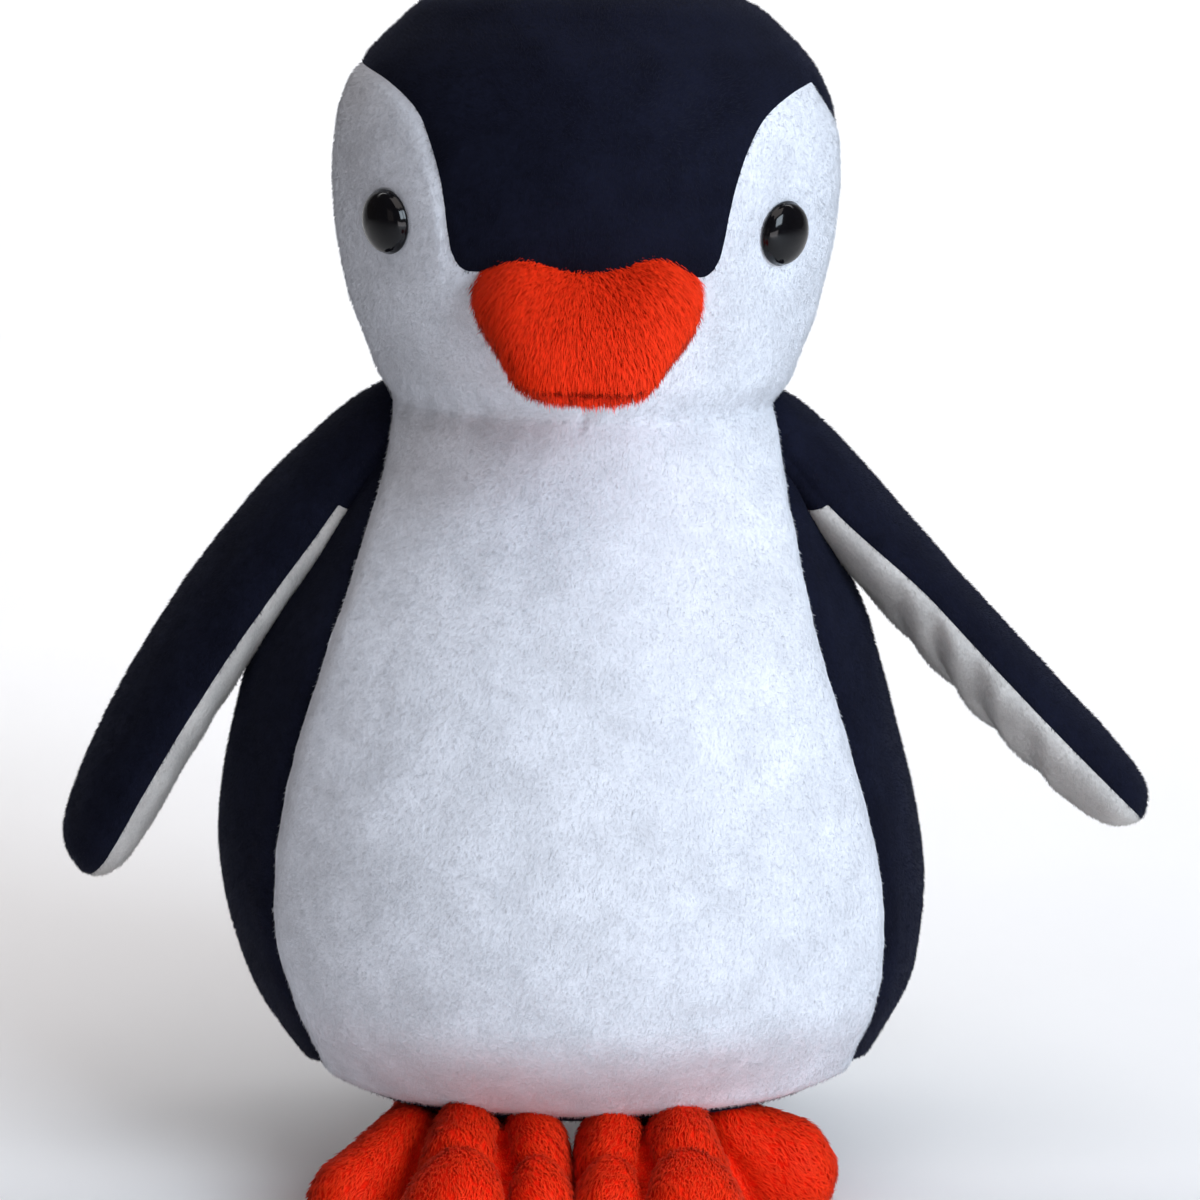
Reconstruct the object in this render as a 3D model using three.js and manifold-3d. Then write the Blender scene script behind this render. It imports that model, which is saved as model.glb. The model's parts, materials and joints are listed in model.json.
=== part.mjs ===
// Plush penguin, standing on its two stuffed feet.
// Millimetres, +Z up. It faces -Y, so its own left side is +X.
// Each sewn cloth panel is a shell of its own over a separate body of stuffing.

import * as THREE from 'three';
import { mergeVertices } from 'three/addons/utils/BufferGeometryUtils.js';
import Module from 'manifold-3d';

const wasm = await Module();
wasm.setup();

// ---------------------------------------------------------------- driving dimensions

const CLOTH = 2; // plush cloth with its backing
const GAP = 0.3; // between any two pieces
const BASE_SEAM = 38; // height of the seam between the body panels and the base panel
const NECK_SEAM = 255; // height of the seam between the body and the head
const HEAD_TOP = 391;
const BODY_HALF_WIDTH = 113.4;
const HEAD_HALF_WIDTH = 78.6;
const DEPTH_RATIO = 0.9; // depth over width, of the body and of the head
const BOTTOM_DEPTH_RATIO = 0.73; // the same at the bottom of the body, where it rests on the feet
const DEPTH_CHANGE = [BASE_SEAM, 80]; // it changes between these heights
const LEAN = 4; // sideways place of the neck
const BELLY_FROM = 30; // the belly panel's pattern starts at this height
const BELLY_ASIDE = 3; // how far the belly panel strays sideways at its middle height
const HEAD_TILT = 1.7; // degrees, towards the penguin's left

const NOD_CENTRE = new THREE.Vector3(0, 0, 215); // the head nods about an X line through here
const NECK_CUP_WIDTH = 76.2; // half-width of the rounded neck joint, along X
const NECK_CUP_RADIUS = 68.8; // its radius about the nod line
const NECK_CUP_LAP = 20; // the body narrows to the cup from this far above the nod line
const NECK_GAP = 0.7; // room for the head to nod

const EYE_RADIUS = 10;
const BACK_SEAM = 14; // the crown ends and the back of the head begins this far behind the middle

const EYE_X = 59.6;
const EYE_HEIGHT = 313;
const EYE_DOME = 6.5;
const EYE_RIM = 1.2;
const EYE_POST_RADIUS = 2.5;
const EYE_POST_LENGTH = 14;
const WASHER_RADIUS = 8;
const WASHER_THICKNESS = 1.6;
const WASHER_DEPTH = 4.2; // of its outer face under the outside of the cheek

const BEAK_ROOT = new THREE.Vector3(0.4, -65.5, 293); // where its middle line meets the face
const BEAK_DROOP = 30; // degrees
const BEAK_SEAM = 1.5; // the seam runs this far under the middle line

const FLIPPER_LENGTH = 160;
const FLIPPER_HALF_WIDTH = 30;
const ROOT_INNER_SHARE = 0.65; // how much thinner the flipper's inner half is where it is sewn on
const SHOULDER = { x: 74, z: 239 }; // the sewn root of each flipper, and its hinge line
const ROOT_EMPTY = 14; // the stuffing starts this far from the hinge line
const ROOT_SWELL = 40; // the flipper reaches its full thickness over this length
const BLUNTING = [100, 155]; // and its tip is rounder between these
const TWIST_RISE = 50; // the twist builds up over this length from the root
const FLIPPER_POSE = {
  // degrees from straight down at the root and at the tip, and twist about the length
  left: { side: 1, root: 42, tip: 46, twist: -5 },
  right: { side: -1, root: 46, tip: 22, twist: 15 },
};

const FOOT_PAD = { centre: [34, -20, 8], radii: [29, 60, 26] };
const TOES = {
  // the root and the tip of each toe as [x, y, height of its top, radius], the inner toe first
  left: [
    [[15, -58, 36, 12], [12.5, -94, 32, 10.6]],
    [[34, -68, 38, 12.5], [37, -97, 35, 15.8]],
    [[46, -42, 33, 13], [69.5, -44, 30, 14]],
  ],
  right: [
    [[15, -58, 36, 12], [9.8, -94, 32, 10.2]],
    [[33, -68, 38, 12.5], [34.5, -98, 35, 16.5]],
    [[46, -46, 34, 13], [67.5, -73, 29, 14]],
  ],
};
const FOOT_SINK = 4; // how much of each toe's round is pressed flat against the ground

const BIG = 400; // larger than the toy, for cutting boxes

// ---------------------------------------------------------------- materials

function plush(color) {
  return new THREE.MeshStandardMaterial({ color, roughness: 0.95, metalness: 0 });
}

const black = plush(0x15161e);
const white = plush(0xe9edf3);
const orange = plush(0xe0301a);
const filling = plush(0xf3f1ea);
const glossyBlack = new THREE.MeshStandardMaterial({ color: 0x050506, roughness: 0.08, metalness: 0 });
const washerWhite = new THREE.MeshStandardMaterial({ color: 0xdddddd, roughness: 0.5, metalness: 0 });

// ---------------------------------------------------------------- geometry helpers

function welded(geometry) {
  const bare = geometry.clone();
  bare.deleteAttribute('normal');
  bare.deleteAttribute('uv');
  return mergeVertices(bare, 1e-4);
}

function flipped(geometry) {
  const index = geometry.index.array;
  for (let i = 0; i < index.length; i += 3) {
    [index[i], index[i + 1]] = [index[i + 1], index[i]];
  }
  return geometry;
}

function moved(geometry, map) {
  const result = geometry.clone();
  const place = result.attributes.position;
  const point = new THREE.Vector3();
  for (let i = 0; i < place.count; i += 1) {
    point.fromBufferAttribute(place, i);
    map(point);
    place.setXYZ(i, point.x, point.y, point.z);
  }
  return result;
}

function inset(geometry, distance) {
  const result = geometry.clone();
  result.computeVertexNormals();
  const place = result.attributes.position;
  const normal = result.attributes.normal;
  for (let i = 0; i < place.count; i += 1) {
    place.setXYZ(
      i,
      place.getX(i) - normal.getX(i) * distance,
      place.getY(i) - normal.getY(i) * distance,
      place.getZ(i) - normal.getZ(i) * distance,
    );
  }
  result.deleteAttribute('normal');
  return result;
}

function solidOf(geometry) {
  return new wasm.Manifold(
    new wasm.Mesh({
      numProp: 3,
      vertProperties: new Float32Array(geometry.attributes.position.array),
      triVerts: new Uint32Array(geometry.index.array),
    }),
  );
}

function geometryOf(solid) {
  const mesh = solid.getMesh();
  const geometry = new THREE.BufferGeometry();
  geometry.setAttribute('position', new THREE.BufferAttribute(new Float32Array(mesh.vertProperties), 3));
  geometry.setIndex(new THREE.BufferAttribute(new Uint32Array(mesh.triVerts), 1));
  return geometry;
}

// A closed shape turned about Z from a profile of [radius, height] points, bottom to top.
function turned(profile, rings, segments) {
  const curve = new THREE.SplineCurve(profile.map(([r, z]) => new THREE.Vector2(r, z)));
  const points = curve.getSpacedPoints(rings);
  points.forEach((p) => p.setX(Math.max(p.x, 0)));
  points[0].setX(0);
  points[rings].setX(0);
  return welded(new THREE.LatheGeometry(points, segments).rotateX(Math.PI / 2));
}

function box(low, high) {
  const size = high.map((h, i) => h - low[i]);
  const middle = high.map((h, i) => (h + low[i]) / 2);
  return solidOf(welded(new THREE.BoxGeometry(...size).translate(...middle)));
}

function above(z) {
  return box([-BIG, -BIG, z], [BIG, BIG, BIG]);
}

// The inside of an outline of [across, height] points, pushed along Y.
function frontCutter(outline, yLow, yHigh) {
  const shape = new THREE.Shape(outline.map(([x, z]) => new THREE.Vector2(x, z)));
  const prism = new THREE.ExtrudeGeometry(shape, { depth: yHigh - yLow, bevelEnabled: false });
  return solidOf(welded(prism.rotateX(Math.PI / 2).translate(0, yHigh, 0)));
}

// The same with an outline of [depth, height] points, pushed along X.
function sideCutter(outline, xLow, xHigh) {
  const shape = new THREE.Shape(outline.map(([y, z]) => new THREE.Vector2(y, z)));
  const prism = new THREE.ExtrudeGeometry(shape, { depth: xHigh - xLow, bevelEnabled: false });
  return solidOf(welded(prism.rotateX(Math.PI / 2).rotateZ(Math.PI / 2).translate(xLow, 0, 0)));
}

function smooth(points, count) {
  const curve = new THREE.SplineCurve(points.map(([a, b]) => new THREE.Vector2(a, b)));
  return curve.getPoints(count).map((p) => [p.x, p.y]);
}

const penguin = new THREE.Group();

function add(name, geometry, material) {
  const mesh = new THREE.Mesh(geometry, material);
  mesh.name = name;
  penguin.add(mesh);
  return mesh;
}

// ---------------------------------------------------------------- neck

// The head and the body meet on this ellipsoid, which is round about the nod line.
function neckCup(growth) {
  const ball = new THREE.SphereGeometry(1, 36, 14).rotateZ(Math.PI / 2);
  ball.scale(NECK_CUP_WIDTH + growth, NECK_CUP_RADIUS + growth, NECK_CUP_RADIUS + growth);
  return solidOf(welded(ball.translate(LEAN, NOD_CENTRE.y, NOD_CENTRE.z)));
}

// ---------------------------------------------------------------- body

const BODY_PROFILE = [
  [0, 35], [50, 35], [80, 36.5], [91.5, 41], [101.8, 56], [109.2, 73], [BODY_HALF_WIDTH, 98],
  [112.4, 122], [107.3, 147], [97.2, 182], [85.3, 204], [73, 226], [64.8, 242], [62, NECK_SEAM],
  [62, 275], [58, 296], [0, 298],
];

// The body sags a little sideways: [across, height] of its middle.
const CENTRE_LINE = [
  [4.8, 33], [3.8, 56], [3, 73], [0.5, 100], [-1.6, 130], [-2.2, 160], [-1.5, 185], [1, 215], [LEAN, 245],
];

function depthRatio(z) {
  const rise = THREE.MathUtils.smoothstep(z, ...DEPTH_CHANGE);
  return THREE.MathUtils.lerp(BOTTOM_DEPTH_RATIO, DEPTH_RATIO, rise);
}

// The sideways place of the body's middle at a height.
function centreAt(height) {
  const line = smooth(CENTRE_LINE, 60);
  const next = line.findIndex(([, z]) => z > height);
  if (next < 1) {
    return next < 0 ? LEAN : line[0][0];
  }
  const [[x0, z0], [x1, z1]] = [line[next - 1], line[next]];
  return x0 + ((x1 - x0) * (height - z0)) / (z1 - z0);
}

// Half the belly panel's width at each height, seen from the front.
const BELLY_EDGE = [
  [86, BELLY_FROM], [87, 50], [91.5, 71], [95, 96], [93.5, 120], [86.2, 154], [76.5, 184], [68.3, 213],
  [61, NECK_SEAM], [60, 300],
];

function bellyCutter(growth) {
  const edge = smooth(BELLY_EDGE, 13);
  const middle = (z) => {
    const share = THREE.MathUtils.clamp((z - BELLY_FROM) / (NECK_SEAM - BELLY_FROM), 0, 1);
    return centreAt(z) + BELLY_ASIDE * Math.sin(Math.PI * share);
  };
  const right = edge.map(([x, z]) => [middle(z) + x + growth, z]);
  const left = edge.map(([x, z]) => [middle(z) - x - growth, z]).reverse();
  return frontCutter([...right, ...left], -BIG, 0);
}

// Everything on one side of the body's middle, past half a gap.
function sideOfBody(side) {
  const middle = smooth(CENTRE_LINE, 13).map(([x, z]) => [x + (side * GAP) / 2, z]);
  const line = [[middle[0][0], 0], ...middle, [middle.at(-1)[0], BIG]];
  const outline = [...line, [side * BIG, BIG], [side * BIG, 0]];
  return frontCutter(side > 0 ? outline.reverse() : outline, -BIG, BIG);
}

function makeBody() {
  const skin = moved(turned(BODY_PROFILE, 17, 24), (p) => {
    p.y *= depthRatio(p.z);
    p.x += centreAt(p.z);
  });
  const column = box([-BIG, -BIG, -BIG], [BIG, BIG, NOD_CENTRE.z + NECK_CUP_LAP]);
  const underNeck = neckCup(0).add(column);
  const shell = solidOf(skin).subtract(solidOf(inset(skin, CLOTH))).intersect(underNeck);
  const upper = shell.intersect(above(BASE_SEAM + GAP));
  const sides = upper.subtract(bellyCutter(GAP));

  add('belly_panel', geometryOf(upper.intersect(bellyCutter(0))), white);
  add('left_body_panel', geometryOf(sides.intersect(sideOfBody(1))), black);
  add('right_body_panel', geometryOf(sides.intersect(sideOfBody(-1))), black);
  add('base_panel', geometryOf(shell.subtract(above(BASE_SEAM))), black);
  add('body_stuffing', geometryOf(solidOf(inset(skin, CLOTH + GAP)).intersect(underNeck)), filling);
}

// ---------------------------------------------------------------- head

const HEAD_PROFILE = [
  [0, 238], [45, 239], [59.5, 249], [62, 257], [65.8, 267], [69.4, 277], [73, 287], [77, 305],
  [HEAD_HALF_WIDTH, 322], [78, 334], [76, 346], [69.5, 360], [58.6, 371.5], [49, 379], [27, 387.5],
  [0, HEAD_TOP],
];

function onHead(geometry) {
  const tilt = new THREE.Matrix4()
    .makeTranslation(LEAN, 0, NECK_SEAM)
    .multiply(new THREE.Matrix4().makeRotationY(THREE.MathUtils.degToRad(HEAD_TILT)))
    .multiply(new THREE.Matrix4().makeTranslation(0, 0, -NECK_SEAM));
  return geometry.clone().applyMatrix4(tilt);
}

function headRadius(z) {
  const curve = new THREE.SplineCurve(HEAD_PROFILE.map(([r, h]) => new THREE.Vector2(r, h)));
  return curve.getPoints(200).find((p) => p.y >= z).x;
}

// Where the eye sits on the cheek, and the way it faces.
function eyeSeat(side) {
  const radius = headRadius(EYE_HEIGHT);
  const rise = headRadius(EYE_HEIGHT + EYE_RADIUS) - headRadius(EYE_HEIGHT - EYE_RADIUS);
  const y = -DEPTH_RATIO * Math.sqrt(radius ** 2 - EYE_X ** 2);
  const place = new THREE.Vector3(side * EYE_X, y, EYE_HEIGHT);
  const across = (side * EYE_X) / radius;
  const ahead = y / (DEPTH_RATIO ** 2 * radius);
  const facing = new THREE.Vector3(across, ahead, -rise / (2 * EYE_RADIUS)).normalize();
  return { place, facing };
}

// Turns a shape made along Y so that Y faces out of the cheek.
function onCheek(geometry, side) {
  const { place, facing } = eyeSeat(side);
  const turn = new THREE.Quaternion().setFromUnitVectors(new THREE.Vector3(0, 1, 0), facing);
  const matrix = new THREE.Matrix4().compose(place, turn, new THREE.Vector3(1, 1, 1));
  return geometry.clone().applyMatrix4(matrix);
}

function rod(radius, low, high, segments = 12) {
  const cylinder = new THREE.CylinderGeometry(radius, radius, high - low, segments);
  return welded(cylinder.translate(0, (low + high) / 2, 0));
}

// The cap's lower edge from its middle outwards, as [across, height].
const CAP_EDGE = [
  [0, 301], [30, 300.5], [36.5, 301], [40, 306], [41.8, 315], [44, 327], [47.3, 337.5], [52, 347],
  [60.5, 354], [70, 358], [80, 361],
];
// The seam behind each cheek from the top down, as [depth, height].
const CHEEK_BACK = {
  left: [[-22, 362], [-17, 351], [6, 338], [24, 322], [31, 300], [26, 255], [22, 230]],
  right: [[0, 370], [22, 352], [31, 330], [32, 300], [26, 255], [22, 230]],
};

function cheekCutter(outline, growth, xLow, xHigh) {
  const back = smooth(outline, 9).map(([y, z]) => [y + growth, z]);
  const corners = [[-BIG, BIG], [back[0][0], BIG], ...back, [back.at(-1)[0], 0], [-BIG, 0]];
  return sideCutter(corners.reverse(), xLow, xHigh);
}

// The white part of the head: below the cap's edge, in front of the back seam.
function faceCutter(growth) {
  const edge = smooth(CAP_EDGE, 13).map(([x, z]) => [x, z + growth]);
  const right = [...edge, [BIG, edge.at(-1)[1]], [BIG, 0]];
  const left = right.map(([x, z]) => [-x, z]).reverse();
  const front = frontCutter([...right, ...left.slice(0, -1)], -BIG, BIG);
  const leftCheek = cheekCutter(CHEEK_BACK.left, growth, 0, BIG);
  return front.intersect(leftCheek.add(cheekCutter(CHEEK_BACK.right, growth, -BIG, 0)));
}

function makeEye(side, name) {
  const seat = EYE_RIM / 2;
  const profile = [[0, seat], [EYE_RADIUS - seat, seat], [EYE_RADIUS, EYE_RIM]];
  const steps = 4;
  for (let i = 1; i <= steps; i += 1) {
    const angle = (i / steps) * (Math.PI / 2);
    profile.push([EYE_RADIUS * Math.cos(angle), EYE_RIM + (EYE_DOME - EYE_RIM) * Math.sin(angle)]);
  }
  const points = profile.map(([r, z]) => new THREE.Vector2(Math.max(r, 0), z));
  points[points.length - 1].setX(0);
  const button = solidOf(welded(new THREE.LatheGeometry(points, 16)));
  const post = solidOf(rod(EYE_POST_RADIUS, -EYE_POST_LENGTH, 1));
  const eye = geometryOf(button.add(post));
  add(`${name}_eye`, onHead(onCheek(eye, side)), glossyBlack);

  const ring = solidOf(rod(WASHER_RADIUS, -WASHER_DEPTH - WASHER_THICKNESS, -WASHER_DEPTH));
  const washer = ring.subtract(solidOf(rod(EYE_POST_RADIUS + GAP, -BIG, BIG)));
  add(`${name}_eye_washer`, onHead(onCheek(geometryOf(washer), side)), washerWhite);
}

function makeHead() {
  const skin = moved(turned(HEAD_PROFILE, 14, 24), (p) => {
    p.y *= DEPTH_RATIO;
  });
  const lining = inset(skin, CLOTH);
  const cup = neckCup(NECK_GAP);
  const postHole = (side) => solidOf(onCheek(rod(EYE_POST_RADIUS + GAP, -EYE_POST_LENGTH - GAP, 5), side));
  const pocketDepth = WASHER_DEPTH + WASHER_THICKNESS + GAP;
  const washerPocket = (side) => solidOf(onCheek(rod(WASHER_RADIUS + GAP, -pocketDepth, 5), side));
  const shell = solidOf(skin).subtract(solidOf(lining)).subtract(postHole(1)).subtract(postHole(-1));
  const dark = shell.subtract(faceCutter(GAP));
  const light = shell.intersect(faceCutter(0));

  const finish = (solid) => geometryOf(solidOf(onHead(geometryOf(solid))).subtract(cup));
  add('crown_panel', finish(dark.intersect(box([-BIG, -BIG, 0], [BIG, BACK_SEAM, BIG]))), black);
  add('head_back_panel', finish(dark.intersect(box([-BIG, BACK_SEAM + GAP, 0], [BIG, BIG, BIG]))), black);
  add('left_cheek_panel', finish(light.intersect(box([GAP / 2, -BIG, 0], [BIG, BIG, BIG]))), white);
  add('right_cheek_panel', finish(light.intersect(box([-BIG, -BIG, 0], [-GAP / 2, BIG, BIG]))), white);

  let core = solidOf(inset(skin, CLOTH + GAP));
  for (const side of [1, -1]) {
    core = core.subtract(postHole(side)).subtract(washerPocket(side));
  }
  add('head_stuffing', finish(core), filling);
  makeEye(1, 'left');
  makeEye(-1, 'right');
  makeBeak(solidOf(inset(skin, -GAP)));
}

// ---------------------------------------------------------------- beak

// Half its width and half its height along the middle line, from inside the face to the tip.
const BEAK_LENGTH = 42;
const BEAK_PLAN = [
  [0, -15], [31.5, -14], [31.5, 0], [28.5, 10], [24.5, 20.5], [21.3, 29], [18, 36.5], [0, BEAK_LENGTH],
];
const BEAK_HEIGHT = [[13, -15], [13.6, 0], [13.2, 12], [11.6, 24], [9, 33], [6, 38.8], [4, BEAK_LENGTH]];
const BEAK_TOP_SHARE = 0.66; // of that height above the middle line
const BEAK_UNDER_SHARE = { root: 1.3, tip: 0.6 }; // and below it

// Made with its length along Z and its height along Y.
function straightBeak() {
  const height = smooth(BEAK_HEIGHT, 40);
  return moved(turned(BEAK_PLAN, 11, 16), (p) => {
    const radius = Math.max(Math.hypot(p.x, p.y), GAP);
    const [half] = height.findLast(([, place]) => place <= p.z) ?? height[0];
    const ahead = THREE.MathUtils.smoothstep(p.z, 0, BEAK_LENGTH);
    const under = THREE.MathUtils.lerp(BEAK_UNDER_SHARE.root, BEAK_UNDER_SHARE.tip, ahead);
    const share = p.y > 0 ? BEAK_TOP_SHARE : under;
    p.y = (p.y / radius) * half * share * Math.min(radius / half, 1);
  });
}

function onFace(geometry) {
  const droop = THREE.MathUtils.degToRad(BEAK_DROOP);
  return geometry.clone().rotateX(Math.PI / 2 + droop).translate(...BEAK_ROOT.toArray());
}

function makeBeak(headAndGap) {
  const skin = straightBeak();
  const shell = solidOf(skin).subtract(solidOf(inset(skin, CLOTH)));
  const finish = (solid) => onHead(geometryOf(solidOf(onFace(geometryOf(solid))).subtract(headAndGap)));
  const upperHalf = box([-BIG, GAP - BEAK_SEAM, -BIG], [BIG, BIG, BIG]);
  const lowerHalf = box([-BIG, -BIG, -BIG], [BIG, -BEAK_SEAM, BIG]);
  add('beak_upper_panel', finish(shell.intersect(upperHalf)), orange);
  add('beak_lower_panel', finish(shell.intersect(lowerHalf)), orange);
  add('beak_stuffing', finish(solidOf(inset(skin, CLOTH + GAP))), filling);
}

// ---------------------------------------------------------------- flippers

// Half-width along the length, from the sewn root to the rounded tip.
const FLIPPER_OUTLINE = [
  [0, -5], [14, -4], [20, 4], [27, 30], [FLIPPER_HALF_WIDTH, 75], [28.5, 115], [23, 143], [13, 156],
  [0, FLIPPER_LENGTH],
];
const FLATNESS = { root: 0.36, middle: 0.42, tip: 0.66 }; // thickness over width

function flipperFlatness(length) {
  const swell = THREE.MathUtils.smoothstep(length, 0, ROOT_SWELL);
  const blunt = THREE.MathUtils.smoothstep(length, ...BLUNTING);
  const thin = THREE.MathUtils.lerp(FLATNESS.root, FLATNESS.middle, swell);
  return THREE.MathUtils.lerp(thin, FLATNESS.tip, blunt);
}

function straightFlipper() {
  return moved(turned(FLIPPER_OUTLINE, 11, 12), (p) => {
    const swell = THREE.MathUtils.smoothstep(p.z, 0, ROOT_SWELL);
    const share = p.y < 0 ? THREE.MathUtils.lerp(ROOT_INNER_SHARE, 1, swell) : 1;
    p.y *= share * flipperFlatness(p.z);
  });
}

// Bends a straight flipper, made along Z with its width in X, into its hanging curve.
function hung(geometry, pose) {
  const root = THREE.MathUtils.degToRad(pose.root);
  const tip = THREE.MathUtils.degToRad(pose.tip);
  const bend = (tip - root) / FLIPPER_LENGTH;
  const curve = moved(geometry, (p) => {
    const angle = root + bend * p.z;
    const twist = THREE.MathUtils.degToRad(pose.twist) * THREE.MathUtils.smoothstep(p.z, 0, TWIST_RISE);
    const along = {
      x: SHOULDER.x + (Math.cos(root) - Math.cos(angle)) / bend,
      z: SHOULDER.z - (Math.sin(angle) - Math.sin(root)) / bend,
    };
    const back = p.x * Math.cos(twist) - p.y * Math.sin(twist);
    const out = p.x * Math.sin(twist) + p.y * Math.cos(twist);
    p.set(along.x + out * Math.cos(angle), back, along.z + out * Math.sin(angle));
  });
  if (pose.side > 0) {
    return curve.translate(LEAN, 0, 0);
  }
  return flipped(curve.scale(-1, 1, 1).translate(LEAN, 0, 0));
}

function makeFlipper(name) {
  const pose = FLIPPER_POSE[name];
  const skin = straightFlipper();
  const lining = inset(skin, CLOTH);
  const shell = solidOf(skin).subtract(solidOf(lining));
  const outer = shell.intersect(box([-BIG, GAP / 2, -BIG], [BIG, BIG, BIG]));
  const inner = shell.intersect(box([-BIG, -BIG, -BIG], [BIG, -GAP / 2, BIG]));
  add(`${name}_flipper_outer_panel`, hung(geometryOf(outer), pose), black);
  add(`${name}_flipper_inner_panel`, hung(geometryOf(inner), pose), white);
  const core = solidOf(inset(lining, 2 * GAP)).intersect(above(ROOT_EMPTY));
  add(`${name}_flipper_stuffing`, hung(geometryOf(core), pose), filling);
}

// ---------------------------------------------------------------- feet

// A stuffed toe from [x, y, height of its top, radius] at the root to the same at the tip.
function toe(root, tip) {
  const from = new THREE.Vector3(root[0], root[1], 0);
  const to = new THREE.Vector3(tip[0], tip[1], 0);
  const length = from.distanceTo(to);
  const capsule = welded(new THREE.CapsuleGeometry(1, length, 2, 8));
  const shaped = moved(capsule, (p) => {
    const share = THREE.MathUtils.clamp(p.y / length + 0.5, 0, 1);
    const radius = THREE.MathUtils.lerp(root[3], tip[3], share);
    const top = THREE.MathUtils.lerp(root[2], tip[2], share);
    const beyond = p.y - (share - 0.5) * length;
    p.set(
      p.x * radius,
      (share - 0.5) * length + beyond * radius,
      (top - FOOT_SINK) / 2 + (p.z * (top + FOOT_SINK)) / 2,
    );
  });
  const heading = Math.atan2(-(to.x - from.x), to.y - from.y);
  return shaped.rotateZ(heading).translate((from.x + to.x) / 2, (from.y + to.y) / 2, 0);
}

function pad(centre, radii) {
  return welded(new THREE.SphereGeometry(1, 12, 6).scale(...radii).translate(...centre));
}

function footBlobs(name) {
  return [pad(FOOT_PAD.centre, FOOT_PAD.radii), ...TOES[name].map(([root, tip]) => toe(root, tip))];
}

function makeFoot(name) {
  const side = name === 'left' ? 1 : -1;
  const joined = (distance) => {
    const solids = footBlobs(name).map((blob) => solidOf(inset(blob, distance)));
    return solids.reduce((sum, next) => sum.add(next));
  };
  const skin = joined(0).intersect(above(0));
  const shell = skin.subtract(joined(CLOTH).intersect(above(CLOTH)));
  const rim = 2 * CLOTH;
  const mirrored = (solid) => {
    const geometry = geometryOf(solid);
    return side > 0 ? geometry : flipped(geometry.scale(-1, 1, 1));
  };
  add(`${name}_foot_top_panel`, mirrored(shell.intersect(above(rim + GAP))), orange);
  add(`${name}_foot_sole_panel`, mirrored(shell.subtract(above(rim))), orange);
  add(`${name}_foot_stuffing`, mirrored(joined(CLOTH + GAP).intersect(above(CLOTH + GAP))), filling);
}

// ---------------------------------------------------------------- the toy

makeBody();
makeHead();
makeFlipper('left');
makeFlipper('right');
makeFoot('left');
makeFoot('right');

// The origin is the middle of the toy's box, on the surface that it stands on.
const extent = new THREE.Box3().setFromObject(penguin);
const middle = extent.getCenter(new THREE.Vector3());
penguin.position.set(-middle.x, -middle.y, -extent.min.z);

export default penguin;
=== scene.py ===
"""The looks of a stuffed plush penguin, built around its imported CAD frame.

Lengths are in millimetres in the toy's own frame (x = 0 in the middle of the base, y = 0 on
the nod line, z = 0 on the ground) until a mesh is made, when they become metres in the row frame.
"""

import json
import math

import bpy
import numpy as np
from mathutils import Matrix, Vector, noise


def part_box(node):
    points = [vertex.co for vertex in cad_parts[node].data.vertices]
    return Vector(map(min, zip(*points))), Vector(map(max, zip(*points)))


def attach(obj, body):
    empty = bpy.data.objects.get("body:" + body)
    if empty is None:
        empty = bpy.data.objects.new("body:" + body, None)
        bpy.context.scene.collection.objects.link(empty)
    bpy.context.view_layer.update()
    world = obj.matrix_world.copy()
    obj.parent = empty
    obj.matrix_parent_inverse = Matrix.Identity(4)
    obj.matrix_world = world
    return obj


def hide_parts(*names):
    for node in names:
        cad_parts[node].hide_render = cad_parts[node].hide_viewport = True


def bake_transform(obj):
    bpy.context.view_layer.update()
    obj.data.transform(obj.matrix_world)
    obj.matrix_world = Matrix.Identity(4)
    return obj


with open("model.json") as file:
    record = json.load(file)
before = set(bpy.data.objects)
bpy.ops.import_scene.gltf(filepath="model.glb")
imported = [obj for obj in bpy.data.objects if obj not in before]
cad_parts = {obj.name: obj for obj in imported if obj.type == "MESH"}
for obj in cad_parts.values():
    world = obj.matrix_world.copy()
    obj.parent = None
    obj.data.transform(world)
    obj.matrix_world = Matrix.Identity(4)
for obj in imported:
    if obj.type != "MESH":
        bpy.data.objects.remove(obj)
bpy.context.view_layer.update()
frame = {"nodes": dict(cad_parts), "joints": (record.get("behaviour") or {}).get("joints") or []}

MM = 0.001
JOINTS = {joint["name"]: joint for joint in frame["joints"]}


def low_mm(node):
    return np.array(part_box(node)[0]) / MM


def high_mm(node):
    return np.array(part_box(node)[1]) / MM


# ------------------------------------------------------------------ driving sizes, from the frame

NOD_LINE = np.array(JOINTS["head_nod"]["pos_m"]) / MM
LEAN = 4.0  # sideways shift of the neck from the middle of the base
ORIGIN = np.array([NOD_LINE[0] - LEAN, NOD_LINE[1], 0.0])  # the toy's own frame, in the row frame

NECK_SEAM = round(low_mm("head_back_panel")[2])
DEPTH_RATIO = 0.9  # of the body and head, front to back, for their width
HEAD_TILT = math.radians(1.7)
HEAD_MIDDLE = LEAN - 1.1  # the head's middle, a little nearer the middle of the base than the neck
SEAM_DEPTH = 1.7


# ------------------------------------------------------------------ small numeric tools


def spline(points, count):
    """Evenly counted points on a smooth curve through the given ones."""
    p = np.array(points, float)
    p = np.vstack([2 * p[0] - p[1], p, 2 * p[-1] - p[-2]])
    spans = len(p) - 3
    at = np.linspace(0, spans, count)
    i = np.minimum(at.astype(int), spans - 1)
    t = (at - i)[:, None]
    a, b, c, d = p[i], p[i + 1], p[i + 2], p[i + 3]
    return 0.5 * (2 * b + (c - a) * t + (2 * a - 5 * b + 4 * c - d) * t**2 + (3 * b - a - 3 * c + d) * t**3)


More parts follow.
